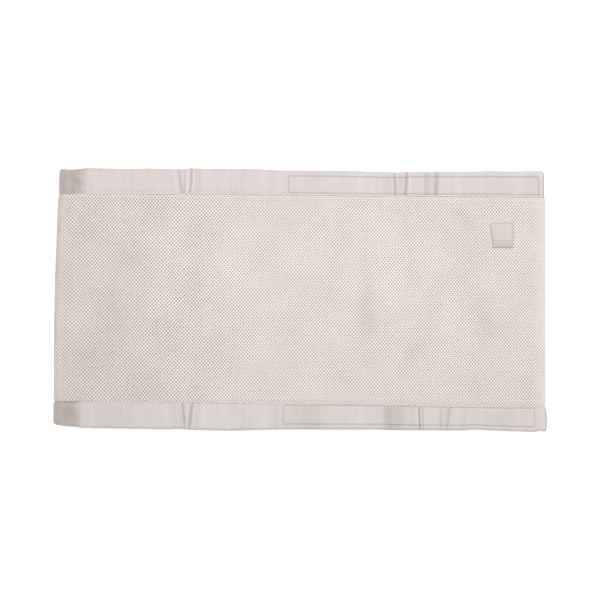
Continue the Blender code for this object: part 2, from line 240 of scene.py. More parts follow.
# How much of the fold's shade the bands carry round the left fold, as (x, share)
FOLD_SHADE_AT = ((-0.304, 0.86), (-0.291, 0.8), (-0.281, 1), (-0.275, 1), (-0.2625, 0), (0.3, 0))

# Stitches, from one end to the other
STITCH_LENGTH = 0.0021
STITCH_PITCH = 0.0028
STITCH_RADIUS = 0.0002
STITCH_LIFTS = (-0.00012, 0.00012, 0.0002, 0.00012, -0.00012)
STITCH_SWELL = (0.35, 0.9, 1.0, 0.9, 0.35)
STITCH_SIDES = 6

# The label. Its dips and marks are lines: (strength, place, half width). Its marks are a painted shadow
# along its right and top edges, painted shade in the hem's dip, and darker below the hem and along a line
# under it.
LABEL_MIDDLE = (0.246, 0.0793)
LABEL_WIDTH = 0.0287
LABEL_HEIGHT = 0.0306
LABEL_SLANT = 0.0044
LABEL_CLOTH = 0.001
LABEL_UNDER_PUFF = 0.0002
LABEL_SINK = 0.0004
LABEL_INSET = 0.0014
LABEL_STEPS = 40
LABEL_HEM = 0.0087
LABEL_HEM_DIP = ((0.00015, LABEL_HEM, 0.0006),)
LABEL_EDGE_DIPS = ((0.00022, LABEL_INSET, 0.0007), (0.0003, 0.0, 0.0006))
LABEL_PUFF = (0.00025, 0.006)
LABEL_HEM_MARK = (0.3, 0.0004)
LABEL_MARKS = ((0.6, LABEL_HEM, 0.0008), (0.5, 0.0043, 0.0008))
LABEL_SIDE_SHADOW = ((1.0, LABEL_WIDTH, 0.0014),)
LABEL_TOP_SHADOW = ((0.8, LABEL_HEIGHT, 0.0016),)

# How finely the pieces follow their curves
BODY_STEP = 0.005
BODY_FOLD_STEP = 0.0015
BODY_COUNT = 29
BAND_STEP = 0.0009
BAND_HIDDEN_STEP = 0.006
BAND_ROUND_STEPS = 10
END_STEPS = 6

# Colours, and what their marks multiply them by
WHITE = (1.0, 1.0, 1.0, 1.0)
KNIT_COLOUR = (0.812, 0.762, 0.714, 1.0)
# Painted shade: the knit's colour at the rims of its holes
KNIT_RIM_SHADE_COLOUR = (0.6, 0.535, 0.485, 1.0)
KNIT_CREAM = (1.003, 0.999, 0.983, 1.0)
KNIT_LILAC = (1.001, 0.996, 1.012, 1.0)
# Partly the pile's own colour and partly painted shade for the insides of the knit's holes
PILE_COLOUR = (0.5, 0.446, 0.404, 1.0)
COTTON_COLOUR = (0.566, 0.516, 0.501, 1.0)
COTTON_WARM_COLOUR = (0.571, 0.52, 0.497, 1.0)
# Painted shade on the bands: round the left fold, in creases, hollows and shadow lines, and over the knit's
# holes pressed through. The stitched grooves' darkening is partly painted shade and partly their needle
# holes. The seam's factor above 1 is painted light.
FOLD_SHADE = (0.745, 0.705, 0.672, 1.0)
CREASED_SHADE = (0.7, 0.688, 0.648, 1.0)
PRINT_SHADE = 0.93
STITCHED_SHADE = 0.76
SEAM_PAINTED_LIGHT = 1.4
LABEL_COLOUR = (0.585, 0.54, 0.484, 1.0)
# Painted shadow along the label's right and top edges, and painted shade at its hem
LABEL_MARK_SHADE = 0.78
THREAD_COLOUR = (0.56, 0.5, 0.465, 1.0)
LABEL_THREAD_COLOUR = (0.43, 0.37, 0.33, 1.0)

# Unevenness of the colours: noise scale, detail, stretch, spread about its middle, darkest and lightest
KNIT_FIBRES = (2600.0, 3.0, (1.0, 0.45, 1.0), 0.25, 0.93, 1.05)
KNIT_CLOUDS = (34.0, 3.0, None, 0.2, 0.975, 1.02)
KNIT_PATCHES = (19.0, 2.0, None, 0.15, -0.35, 0.35)
PILE_STRANDS = (1900.0, 3.0, None, 0.25, 0.86, 1.1)
COTTON_SLUBS = (900.0, 2.0, (0.12, 1.0, 1.0), 0.2, 0.975, 1.02)
COTTON_STREAKS = (110.0, 2.0, (1.0, 0.1, 1.0), 0.2, 0.952, 1.04)
COTTON_CLOUDS = (22.0, 3.0, None, 0.15, 0.0, 1.0)
COTTON_BLOTCHES = (75.0, 2.0, None, 0.2, 0.9, 1.12)
LABEL_CLOUDS = (160.0, 3.0, None, 0.2, 0.97, 1.02)
THREAD_TWIST = (5200.0, 2.0, None, 0.25, 0.85, 1.08)
COTTON_WEAVE = (620.0, 620.0, 0.6)      # ribs along X and Y, and how much they waver
LABEL_WEAVE = (780.0, 520.0, 0.5)
LABEL_WEAVE_SHARES = (0.3, 0.7)
WEAVE_SHADES = (0.965, 1.02)
LABEL_WEAVE_SHADES = (0.93, 1.04)
KNIT_SHADE_RANGE = (-2.0, 3.0)
KNIT_SHADE_FACTORS = (1.09, 0.84)
HOLE_EDGE = (0.4, 0.62)
HOLE_REPEAT = (0.004, 0.00456)

# The camera: 600 pixels of the photo are 0.732 m on the top layer
PHOTO_WIDTH = 600 * 0.00122
CAMERA_HEIGHT = 4.0
TOP_SURFACE_Z = TOP_Z + MESH_HALF
SENSOR = 36.0
FLOOR_HALF = 6.0
FLOOR_Z = -0.0004
FLOOR_COLOUR = (0.9, 0.9, 0.9, 1.0)
FLOOR_GLOW = 0.45
ROOM_LIGHT = 0.345
# Lamps: name, size, power and place
LAMPS = (("key", 1.7, 60.0, (1.1, 1.9, 2.1)), ("overhead", 1.6, 47.0, (-0.1, 0.0, 3.2)),
         ("left_fill", 1.0, 4.0, (-2.0, 0.0, 0.95)))


def ease(low, high, value):
    """0 below low, 1 above high and a smooth step between them."""
    t = np.clip((np.asarray(value, float) - low) / (high - low), 0.0, 1.0)
    return t * t * (3.0 - 2.0 * t)


def along(table, x):
    """The table's y at x, eased from one point to the next."""
    xs, ys = np.array(table, float).T
    i = np.clip(np.searchsorted(xs, x) - 1, 0, len(xs) - 2)
    return ys[i] + (ys[i + 1] - ys[i]) * ease(xs[i], xs[i + 1], x)


def bump_at(distance, half_width):
    """1 on a line and 0 beyond its half width."""
    return 1.0 - ease(0.0, half_width, np.abs(distance))


def lines_at(rows, place_on):
    """The sum of some lines, each with its strength, place and half width."""
    return sum(strength * bump_at(place_on - line, half_width) for strength, line, half_width in rows)


def soft_spots():
    """The main troughs and ridges, and many small lumps between them."""
    random = np.random.default_rng(11)
    spots = [(*metres(row)[0], turn) for *row, turn in SOFT_SPOTS]
    for _ in range(LUMPS):
        x, y = (random.uniform(-reach, reach) for reach in LUMPS_TO)
        width, length = random.uniform(*LUMP_SIZE, 2)
        turn = random.uniform(-90, 90)
        spots.append((x, y, width, length, random.uniform(-1, 1) * LUMP_RISE, turn))
    return spots


def soft_folds(x, y):
    """How far the top layer lies above or below its own level."""
    height = 0.0
    for middle_x, middle_y, half_width, half_length, rise, turn in ALL_SPOTS:
        cos, sin = math.cos(math.radians(turn)), math.sin(math.radians(turn))
        dx, dy = x - middle_x, y - middle_y
        away = np.hypot((dx * cos + dy * sin) / half_width, (dy * cos - dx * sin) / half_length)
        height = height + rise * bump_at(away, 1.0)
    return height * (1.0 - ease(SEAM - FLAT_BY_SEAM, SEAM, np.abs(y)))


def flowing(points, steps):
    """A smooth curve through the points, from the second to the last but one."""
    points = np.array(points, float)
    t = (np.arange(steps) / steps)[:, None]
    found = []
    for a, b, c, d in zip(points, points[1:], points[2:], points[3:]):
        found.append(0.5 * (2 * b + (c - a) * t + (2 * a - 5 * b + 4 * c - d) * t ** 2
                            + (3 * b - a - 3 * c + d) * t ** 3))
    found.append(points[-2:-1])
    return joined(found)


def layer_points():
    """The corners and curves of the line through the three layers, as (x, z)."""
    radius = (MIDDLE_Z - BOTTOM_Z) / 2
    turn = np.radians(np.linspace(-90, 90, 41))
    right = np.stack([RIGHT_FOLD_X + radius * np.cos(turn), BOTTOM_Z + radius * (1 + np.sin(turn))], 1)
    ahead, start = (RIGHT_FOLD_X + STRAIGHT_BY_FOLD, MIDDLE_Z), (RIGHT_FOLD_X - 0.0001, MIDDLE_Z)
    beyond = tuple((LEFT_FOLD[-1][0] + n * STRAIGHT_BY_FOLD, TOP_Z) for n in (1, 2))
    back = flowing((ahead, start) + MIDDLE_LAYER + LEFT_FOLD + beyond, 24)
    return joined([[(HIDDEN_END_X, BOTTOM_Z)], right, back, [(TOP_END_X - MESH_HALF, TOP_Z)]])


class Line:
    """The line through the middle of the cloth, in fine steps of its own length s."""

    def __init__(self, points):
        corners = joined([[0.0], np.cumsum(np.hypot(*np.diff(points, axis=0).T))])
        self.s = np.linspace(0.0, corners[-1], int(corners[-1] / LINE_STEP))
        self.x = np.interp(self.s, corners, points[:, 0])
        self.z = np.interp(self.s, corners, points[:, 1])
        dx, dz = np.gradient(self.x), np.gradient(self.z)
        run = np.hypot(dx, dz)
        self.nx, self.nz = -dz / run, dx / run
        self.end = self.s[-1]
        left = int(np.argmin(self.x))
        right = int(np.argmax(self.x[:left]))
        self.left, self.right = self.s[left], self.s[right]
        number = np.arange(len(self.s))
        top = np.where(number > left, ease(*SOFT_FROM_X, self.x), 0.0)
        near_right = ease(*DRIFT_AT_RIGHT, self.x)
        middle = MIDDLE_DRIFT * (1.0 - near_right) + BOTTOM_DRIFT * near_right
        upper = MIDDLE_DRIFT * (1.0 - ease(*DRIFT_AT_LEFT, self.x))
        drift = np.where(number > left, upper, np.where(number > right, middle, BOTTOM_DRIFT))
        # The cloth's face goes half a turn round the free end of the top layer
        turn = np.radians(np.linspace(7.5, 180, 24))
        self.s = joined([self.s, self.end + turn * MESH_HALF])
        self.x, self.z, self.top, self.drift = (joined([values, np.full(len(turn), values[-1])])
                                                for values in (self.x, self.z, top, drift))
        self.nx, self.nz = joined([self.nx, np.sin(turn)]), joined([self.nz, np.cos(turn)])

    def x_at(self, s):
        return np.interp(s, self.s, self.x)

    def top_length(self, x):
        """The length along the line at which the top layer passes x."""
        on_top = (self.s > self.left) & (self.s <= self.end)
        return np.interp(x, self.x[on_top], self.s[on_top])


def levels(x):
    """The y of the outlines and seams at x, from the lowest up."""
    return [along(table, x) for table in (BOTTOM_OUTLINE, BOTTOM_SEAM, TOP_SEAM, TOP_OUTLINE)]


def moved(value, given, wanted):
    """A place across the bumper moved from one set of outlines and seams to another."""
    low, middle, high = (c + (value - a) * (d - c) / (b - a)
                         for a, b, c, d in zip(given, given[1:], wanted, wanted[1:]))
    return np.where(value > given[2], high, np.where(value < given[1], low, middle))


def place(s, across, off, past=0.0):
    """Points on the cloth. A place past either end of the line is that much further along X."""
    x, z, nx, nz, top, drift = (np.interp(s, LINE.s, values)
                                for values in (LINE.x, LINE.z, LINE.nx, LINE.nz, LINE.top, LINE.drift))
    x = x + nx * off + past
    z = z + nz * off + top * soft_folds(x, across)
    y = moved(across, NOMINAL, levels(x))
    lean = LEAN * ease(*LEAN_Y, y) * (1.0 - ease(FOLD_X, LEAN_FROM_X, x))
    out = along(FOLD_OUT, y) * (1.0 - ease(FOLD_X, FOLD_OUT_TO_X, x))
    return np.stack(np.broadcast_arrays(x + lean - out + SHIFT_X, y + drift, z), -1)


def half_thickness(across):
    """Half the thickness of the panel, which is pinched inside the bands and closes at its rim."""
    away = np.abs(across)
    half = MESH_HALF + (PINCHED_HALF - MESH_HALF) * ease(*PINCH, away)
    rim = np.clip((away - (PANEL_EDGE - PANEL_BEVEL)) / PANEL_BEVEL, 0.0, 1.0)
    return half * np.sqrt(1.0 - rim ** 2)


class Face:
    """One side of the mesh, with the length along it and the number of its columns of holes."""

    def __init__(self, side):
        self.side = side
        step = np.hypot(*(np.diff(middle + side * MESH_HALF * normal)
                          for middle, normal in ((LINE.x, LINE.nx), (LINE.z, LINE.nz))))
        pitch = along(COLUMN_PITCH, LINE.x)
        self.length = joined([[0.0], np.cumsum(step)])
        self.column = joined([[0.0], np.cumsum(2.0 * step / (pitch[:-1] + pitch[1:]))])

    def lattice(self, s, y):
        """The column and row of the knit at a place, as real numbers."""
        x = LINE.x_at(s)
        length = np.interp(s, LINE.s, self.length) + y * COLUMN_LEAN
        return np.interp(length, self.length, self.column), (y - ROW_TILT * x) / along(ROW_PITCH, x)

    def spot(self, column, row, aside=0.0, up=0.0):
        """The place (s, y) of a column and row, and of a point a little aside and up from there."""
        length = np.interp(column, self.column, self.length)
        x = np.interp(length, self.length, LINE.x)
        y = ROW_TILT * x + row * along(ROW_PITCH, x) + up
        return np.interp(length + aside - y * COLUMN_LEAN, self.length, LINE.s), y

    def raised(self, s, y, rise):
        """Points a rise above the face at places (s, y), and their nominal places across."""
        across = moved(y, levels(LINE.x_at(s)), NOMINAL)
        return place(s, across, self.side * (half_thickness(across) + rise)), across


def added(name, data):
    """A new object in the scene."""
    made = bpy.data.objects.new(name, data)
    bpy.context.scene.collection.objects.link(made)
    return made


def mesh_object(name, points, faces, material, layers=None, attributes=None):
    """A smooth mesh, with UV layers and attributes given for each of its points."""
    mesh = bpy.data.meshes.new(name)
    mesh.from_pydata(np.asarray(points).tolist(), [], [list(face) for face in faces])
    corners = np.empty(len(mesh.loops), np.int64)
    mesh.loops.foreach_get("vertex_index", corners)
    for layer, values in (layers or {}).items():
        made = mesh.uv_layers.new(name=layer)
        made.data.foreach_set("uv", values.reshape(-1, 2).astype(np.float32)[corners].ravel())
    for attribute, values in (attributes or {}).items():
        made = mesh.attributes.new(attribute, "FLOAT", "POINT")
        made.data.foreach_set("value", values.ravel().astype(np.float32))
    mesh.shade_smooth()
    mesh.materials.append(material)
    return added(name, mesh)


def ring_faces(rows, columns):
    """Quads between rings of points, each ring closed."""
    i, j = np.meshgrid(np.arange(rows - 1), np.arange(columns), indexing="ij")
    here, following = i * columns + j, i * columns + (j + 1) % columns
    quads = np.stack([here, following, following + columns, here + columns], -1)
    return quads.reshape(-1, 4)


def end_faces(row, count, shift, turned):
    """Faces that close a ring across its middle, from point k to point count - 1 + shift - k."""
    faces = []
    for k in range(count // 2 - 1 + shift):
        quad = [k, k + 1, (count - k - 2 + shift) % count, (count - k - 1 + shift) % count]
        face = [row * count + v for n, v in enumerate(quad) if v not in quad[:n]]
        faces.append(face[::-1] if turned else face)
    return faces


def facing_out(points, faces):
    """The faces, turned round if they enclose a negative volume."""
    corners = np.array([(face[0], face[1], face[2], face[-1]) for face in faces])
    a, b, c, d = np.asarray(points)[corners].transpose(1, 0, 2)
    volume = np.sum(a * (np.cross(b, c) + np.cross(c, d)))
    return faces if volume > 0 else [face[::-1] for face in faces]


def spread_along(coarse, fine, fine_ranges):
    """Lengths along the whole line, finely within the fine ranges and coarsely elsewhere."""
    found = [0.0]
    while found[-1] < LINE.end:
        near = any(low <= found[-1] < high for low, high in fine_ranges)
        step = fine if near else coarse
        for low, _ in fine_ranges:
            if found[-1] < low < found[-1] + step:
                step = low - found[-1]
        found.append(found[-1] + step)
    found[-1] = LINE.end
    return np.array(found)


def hole_size(x, y):
    """How large the knit's holes are at a place, where 1 is their full size."""
    drift = HOLE_DRIFT
    for by_x, by_y, start in HOLE_WAVES:
        drift = drift * np.sin(by_x * x + by_y * y + start)
    return along(HOLE_SIZE_ACROSS, y) * (1.0 + drift) * along(HOLE_SIZE_ALONG, x)


def knitted_face(name, face, start, end, material, seed):
    """The open knit of one face between two lengths: a cell with a real hole for each of its holes."""
    random = np.random.default_rng(seed)
    low, high = np.interp([start, end], LINE.s, face.column)
    reach = int(2 * NET_HALF_HEIGHT / ROW_PITCH[-1][1])
    columns = np.arange(math.ceil(2 * low), math.floor(2 * high) + 1)
    a, b = np.meshgrid(columns, np.arange(-reach, reach + 1), indexing="ij")
    s, y = face.spot(a / 2, b / 2, *random.normal(0.0, KNIT_UNEVEN, (2,) + a.shape))
    knots, across = face.raised(s, y, KNOT_RISE + random.normal(0.0, KNIT_UNEVEN, a.shape))
    hole = ((a + b) % 2 == 0) & (np.abs(across) < SEAM + KNIT_PAST_SEAM)
    hole[[0, -1]] = False
    hole[:, [0, -1]] = False
    ia, ib = np.nonzero(hole)
    size = random.normal(1.0, HOLE_UNEVEN, len(ia)) * hole_size(LINE.x_at(s[ia, ib]), y[ia, ib])
    size = size[:, None] / 2
    angle = math.pi * (1 + 2 * np.arange(HOLE_CORNERS)) / HOLE_CORNERS
    shaken = random.normal(0.0, KNIT_UNEVEN, (2, len(ia), HOLE_CORNERS))
    aside = size * HOLE_WIDTH * np.cos(angle) + shaken[0]
    up = size * HOLE_HEIGHT * np.sin(angle) + shaken[1]
    s, y = face.spot(a[ia, ib][:, None] / 2, b[ia, ib][:, None] / 2, aside, up)
    rims, _ = face.raised(s, y, -HOLE_RIM_DIP)
    numbers = np.arange(a.size).reshape(a.shape)
    east, north = numbers[ia + 1, ib], numbers[ia, ib + 1]
    west, south = numbers[ia - 1, ib], numbers[ia, ib - 1]
    rim = (a.size + np.arange(rims.size // 3)).reshape(-1, HOLE_CORNERS).T
    cells = [(north, rim[1], rim[0]), (north, rim[2], rim[1]), (south, rim[4], rim[3]),
             (south, rim[5], rim[4]), (east, rim[0], rim[5]), (west, rim[3], rim[2]),
             (east, north, rim[0]), (north, west, rim[2]), (west, south, rim[3]), (south, east, rim[5])]
    faces = joined([np.stack(cell, 1) for cell in cells])
    points = joined([knots.reshape(-1, 3), rims.reshape(-1, 3)])
    used, faces = np.unique(faces[:, ::int(face.side)], return_inverse=True)
    points = points[used]
    x, y = points[:, 0], points[:, 1]
    # Painted shade in the soft troughs and painted light on the ridges, more painted shade and light along
    # the bumper's length, and darker towards the top seam
    painted_knit_shade = np.clip(-soft_folds(x, y) / TROUGH_FULL_DEPTH, -TROUGH_LIMIT, TROUGH_LIMIT) + along(KNIT_PAINTED_SHADE, x)
    painted_knit_shade = painted_knit_shade + sum(DARKER_STEP * ease(low, high, y) for low, high in DARKER_UPWARDS)
    warmth = along(KNIT_WARMTH, x) * (1.0 - COOLER_ABOVE * ease(*WARM_BELOW, y))
    return mesh_object(name, points, faces.reshape(-1, 3), material, None,
                       {"depth": used >= a.size, "painted_knit_shade": painted_knit_shade, "warmth": warmth})


def panel_body(material):
    """The thick middle of the mesh: full where its own face shows, and lower under the open knit."""
    middle = np.linspace(-BODY_MIDDLE, BODY_MIDDLE, BODY_COUNT)
    across = joined([-BODY_BY_SEAM[::-1], middle, BODY_BY_SEAM])
    fine = [(LINE.right - 0.03, LINE.right + 0.03), (LINE.left - 0.06, LINE.left + 0.05)]
    s = spread_along(BODY_STEP, BODY_FOLD_STEP, fine)
    plain = np.zeros(len(s))
    rounding = np.sin(np.radians(np.linspace(0, END_TURN, END_STEPS + 1)[1:]))
    closing = np.sqrt(1.0 - rounding ** 2)
    shrink = joined([closing[::-1], plain + 1.0, closing])[:, None]
    past = joined([-rounding[::-1] * MESH_HALF, plain, rounding * (MESH_HALF - KNOT_RISE)])[:, None]
    s = joined([np.zeros(END_STEPS), s, np.full(END_STEPS, LINE.end)])[:, None]
    net_start = LINE.left - NET_LEAD
    under_net = ease(net_start, net_start + NET_START_FADE, s)
    in_band = ease(*PINCH, np.abs(across))
    half = half_thickness(across)
    depth = np.minimum(THIN_PILE + (PILE_DEPTH - THIN_PILE) * (1.0 - in_band), half * DEEPEST_PILE)
    past = past * (1.0 - END_TUCK * in_band)
    upper = (half - depth * under_net) * shrink
    lower = -half * shrink
    edge = np.zeros_like(s)
    off = joined([edge, upper, edge, lower[:, ::-1]], 1)
    end_out = joined([past[:, :1], past, past[:, -1:], past[:, ::-1]], 1)
    places = joined([[-PANEL_EDGE], across, [PANEL_EDGE], across[::-1]])
    points = place(s, places, off, end_out)
    count = len(places)
    faces = ring_faces(len(s), count).tolist()
    faces += end_faces(0, count, 1, True) + end_faces(len(s) - 1, count, 1, False)
    outer, inner = (FACES[side].lattice(s, points[..., 1]) for side in (1, -1))
    is_upper = np.arange(count) <= len(across) + 1
    lattice = np.stack([np.where(is_upper, outer[0], inner[0]), outer[1]], -1)
    covered = under_net * is_upper * (1.0 - ease(*END_UNCOVERED, end_out / MESH_HALF))
    points = points.reshape(-1, 3)
    return mesh_object("mesh_body", points, facing_out(points, faces), material,
                       {"lattice": lattice}, {"covered": covered})


def crease_relief(creases, x, t):
    """Troughs across a band, each with a soft lip on both sides. t is the distance from the seam."""
    height = 0.0
    share = np.clip(t / BAND_WIDTH, 0.0, 1.0)
    for seam_x, edge_x, bow, half_width, depth, lip in creases:
        away = np.abs(x - (seam_x + (edge_x - seam_x) * share + bow * 4 * share * (1 - share)))
        height = height - depth * bump_at(away, half_width)
        height = height + lip * bump_at(away - LIP_AWAY * half_width, LIP_WIDTH * half_width)
    return height


def stitched_groove(rectangle, x, t):
    """1 on the stitched lines of a long rectangle, and 0 beside them."""
    def within(low, high, value):
        return ease(-GROOVE_HALF, GROOVE_HALF, value - low) * ease(-GROOVE_HALF, GROOVE_HALF, high - value)

    def on_either(low, high, value):
        return np.maximum(bump_at(value - low, GROOVE_HALF), bump_at(value - high, GROOVE_HALF))

    left, right, low, high = rectangle
    return np.maximum(on_either(low, high, t) * within(left, right, x),
                      on_either(left, right, x) * within(low, high, t))


def raised_level(t):
    """The height of a band's cloth over its soft filling, at a distance from the seam."""
    by_seam = PINCHED_HALF + GAP + BAND_CLOTH
    return by_seam + (BAND_PUFF - by_seam) * ease(*SEAM_SLOPE, t)


class Band:
    """One of the two bands: which side of the bumper it is on, its creases, its stitching and its end."""

    def __init__(self, side, creases, hollows, stitching, end_out, seed):
        self.side, self.stitching, self.end_out = side, stitching, end_out
        self.creases = creases + tuple((x, x, 0.0, *width_and_depth, 0.0) for x, *width_and_depth in hollows)
        self.phases = np.random.default_rng(seed).uniform(0.0, 2 * math.pi, 8)

    def relief(self, x, t):
        """How far the band's upper face stands above its plain section."""
        p = self.phases
        sway, turns = PUCKER_SWAY
        uneven = 0.5 + 0.5 * np.sin(x * PUCKER_PATCHES[0] + p[0]) * np.sin(x * PUCKER_PATCHES[1] + p[1])
        ripple = np.sin(2 * math.pi * x / PUCKER_PITCH + sway * np.sin(x * turns + p[2]) + t * PUCKER_SLANT)
        fade = np.exp(-np.clip(t, 0, None) / PUCKER_REACH) * ease(0.0, PUCKER_START, t)
        height = PUCKER_RISE * uneven * ripple * fade
        for n, (rise, first, second) in enumerate(WAVES):
            wave = np.sin(x * first[0] + p[3 + 2 * n] + t * first[1])
            height = height + rise * wave * np.sin(x * second[0] + t * second[1] + p[4 + 2 * n])
        height = height + crease_relief(self.creases, x, t)
        return height - GROOVE_DEPTH * stitched_groove(self.stitching, x, t)

    def point(self, x, t, above):
        """A point above the band's upper face on the top layer."""
        beyond = np.clip((t - (BAND_WIDTH - ROUNDING)) / ROUNDING, 0.0, 1.0)
        level = raised_level(t) * (1.0 - beyond ** SQUARENESS) ** (1.0 / SQUARENESS)
        return place(LINE.top_length(x), self.side * (SEAM + t), level + self.relief(x, t) + above)


def band_section():
    """The outer side of a band's section: distance from the seam, height and share of the relief."""
    turn = np.radians(np.linspace(90, -90, 2 * BAND_ROUND_STEPS + 1))
    power = 2.0 / SQUARENESS
    round_t = BAND_WIDTH - ROUNDING + ROUNDING * np.clip(np.cos(turn), 0.0, None) ** power
    round_off = BAND_PUFF * np.sign(np.sin(turn)) * np.abs(np.sin(turn)) ** power
    t = joined([BAND_FRONT, round_t, BAND_BACK])
    off = joined([raised_level(BAND_FRONT), round_off, -raised_level(BAND_BACK)])
    share = joined([np.ones(len(BAND_FRONT)), np.clip(np.sin(turn), 0, 1), np.zeros(len(BAND_BACK))])
    return t, off, share


def band_inside(t, off):
    """The inner side of the same section, a cloth's thickness in from the outer one."""
    start = BAND_WIDTH - ROUNDING
    inner_t = np.where(t > start, start + (t - start) * (ROUNDING - BAND_CLOTH) / ROUNDING, t)
    in_round = off * (BAND_PUFF - BAND_CLOTH) / BAND_PUFF
    return inner_t, np.where(t > start, in_round, off - np.sign(off) * BAND_CLOTH)


def band_piece(name, band, material):
    """The cloth of a band, swept along all the layers."""
    fine = [(LINE.left - 0.02, LINE.end), (LINE.right - 0.02, LINE.right + 0.02)]
    s = spread_along(BAND_HIDDEN_STEP, BAND_STEP, fine)
    end = MESH_HALF + BAND_PAST_END
    plain = np.zeros(len(s))
    start = joined([[-end, START_ROUNDING - end], plain, np.zeros(len(BAND_END_STEPS))])[:, None]
    finish = joined([[0.0, 0.0], plain, BAND_END_STEPS])[:, None]
    s = joined([[0.0, 0.0], s, np.full(len(BAND_END_STEPS), LINE.end)])[:, None]
    t, off, share = band_section()
    inner_t, inner_off = band_inside(t, off)
    ring_t = joined([t, inner_t[::-1]])
    ring_off = joined([off, inner_off[::-1]])
    ring_off[:len(SEAM_ROLL)] -= SEAM_ROLL
    ring_share = joined([share, share[::-1]])
    past = start + finish * (end + along(band.end_out, ring_t))
    x = LINE.x_at(s) + past
    top = (s > LINE.left) * ease(*RELIEF_FROM_X, x)
    back = np.where(s < LINE.right - FLOOR_TO_FOLD, MESH_HALF / BAND_PUFF, 1.0)
    off = ring_off * np.where(ring_off < 0, back, 1.0) + ring_share * band.relief(x, ring_t) * top
    points = place(s, band.side * (SEAM + ring_t), off, past)
    count = len(ring_t)
    faces = ring_faces(len(s), count).tolist()
    faces += end_faces(0, count, 0, True) + end_faces(len(s) - 1, count, 0, False)
    girth = joined([[0.0], np.cumsum(np.hypot(np.diff(t), np.diff(ring_off[:len(t)])))])
    cloth = np.stack(np.broadcast_arrays(s + past, joined([girth, girth[::-1]])), -1)
    lattice = np.stack(FACES[1].lattice(s, points[..., 1]), -1)
    upper = (ring_share > 0) * top
    points = points.reshape(-1, 3)
    return mesh_object(name, points, facing_out(points, faces), material,
                       {"cloth": cloth, "lattice": lattice}, band_marks(band, x, ring_t, upper))


def band_marks(band, x, t, upper):
    """How strongly each point of a band carries painted shade from the knit's holes, painted light,
    darkening along its stitched grooves, painted shade, and the left fold's painted shade.
    """
    # Painted shade in the creases' troughs and hollows, painted light on their lips, and painted shade just
    # before the bands' ends
    relief = crease_relief(band.creases, x, t)
    painted_shade = np.clip(-relief / CREASE_FULL_DEPTH, 0.0, 1.0) ** CREASE_POWER
    painted_light = LIP_HIGHLIGHT * np.clip(relief / LIP_FULL_RISE, 0.0, 1.0)
    # Top band: painted shade at its outer edge and painted light by its seam. Bottom band: a painted shadow
    # along its seam, stronger round the left fold, and painted light at its outer edge.
    if band.side > 0:
        painted_shade = np.maximum(painted_shade, EDGE_SHADE * ease(*EDGE_SHADE_FROM, t))
        painted_light = np.maximum(painted_light, 1.0 - ease(0.0, SEAM_PAINTED_LIGHT_TO, t))
    else:
        seam_shadow = SEAM_SHADOW * (1.0 - ease(*SEAM_SHADOW_FADE, t))
        more = 1.0 + SEAM_SHADOW_MORE * (1.0 - ease(*SEAM_SHADOW_MORE_TO, x))
        painted_shade = np.maximum(painted_shade, seam_shadow * more)
        painted_light = np.maximum(painted_light, EDGE_PAINTED_LIGHT * ease(*EDGE_PAINTED_LIGHT_FROM, t))
    # The turned mark is the painted shade of the bands round the left fold
    return {"print_through_shade": (1.0 - ease(*PRINT_REACH, t)) * upper, "painted_light": painted_light * upper,
            "stitched": stitched_groove(band.stitching, x, t) * upper,
            "painted_shade": np.maximum(painted_shade * upper, 1.0 - ease(*END_SHADE_REACH, x[-1:] - x)),
            "turned": along(FOLD_SHADE_AT, x)}


def stitch_row(point, start, end):
    """The stitches between two places, each a row of the points along its middle."""
    start, end = np.array(start), np.array(end)
    length = np.linalg.norm(end - start)
    count = max(int(length / STITCH_PITCH), 1)
    steps = np.linspace(-0.5, 0.5, len(STITCH_LIFTS))[:, None] * STITCH_LENGTH * (end - start) / length
    rows = []
    for share in (np.arange(count) + 0.5) / count:
        places = start + (end - start) * share + steps
        rows.append(point(places[:, 0], places[:, 1], np.array(STITCH_LIFTS)))
    return rows


def stitched_round(point, rectangle):
    """The stitches on the four sides of a rectangle."""
    left, right, low, high = rectangle
    corners = ((left, low), (right, low), (right, high), (left, high))
    return sum((stitch_row(point, *ends) for ends in zip(corners, corners[1:] + corners[:1])), [])


def thread_piece(name, stitches, material):
    """Short rounded stitches, each a tube that narrows at its ends."""
    points, faces = [], []
    angle = (np.arange(STITCH_SIDES) * 2 * math.pi / STITCH_SIDES)[:, None]
    tube = ring_faces(len(STITCH_SWELL), STITCH_SIDES).tolist()
    first_end = list(range(STITCH_SIDES))[::-1]
    last_end = [(len(STITCH_SWELL) - 1) * STITCH_SIDES + j for j in range(STITCH_SIDES)]
    for path in stitches:
        run = path[-1] - path[0]
        aside = np.cross(run, (0.0, 0.0, 1.0))
        aside = aside / np.linalg.norm(aside)
        up = np.cross(aside, run / np.linalg.norm(run))
        faces += [[len(points) + v for v in face] for face in tube + [first_end, last_end]]
        for centre, wide in zip(path, STITCH_SWELL):
            points += list(centre + STITCH_RADIUS * wide * (aside * np.cos(angle) + up * np.sin(angle)))
    return mesh_object(name, np.array(points), facing_out(points, faces), material)


def label_place(width, height, above):
    """A point of the label, at a distance from its left side and its bottom."""
    left = LABEL_SLANT * (1.0 - height / LABEL_HEIGHT) - LABEL_WIDTH / 2
    x = LABEL_MIDDLE[0] + left + (LABEL_WIDTH / 2 - left) * width / LABEL_WIDTH
    y = LABEL_MIDDLE[1] + height - LABEL_HEIGHT / 2
    z = TOP_SURFACE_Z + GAP + soft_folds(x, y) + above
    return np.stack(np.broadcast_arrays(x + SHIFT_X, y, z), -1)


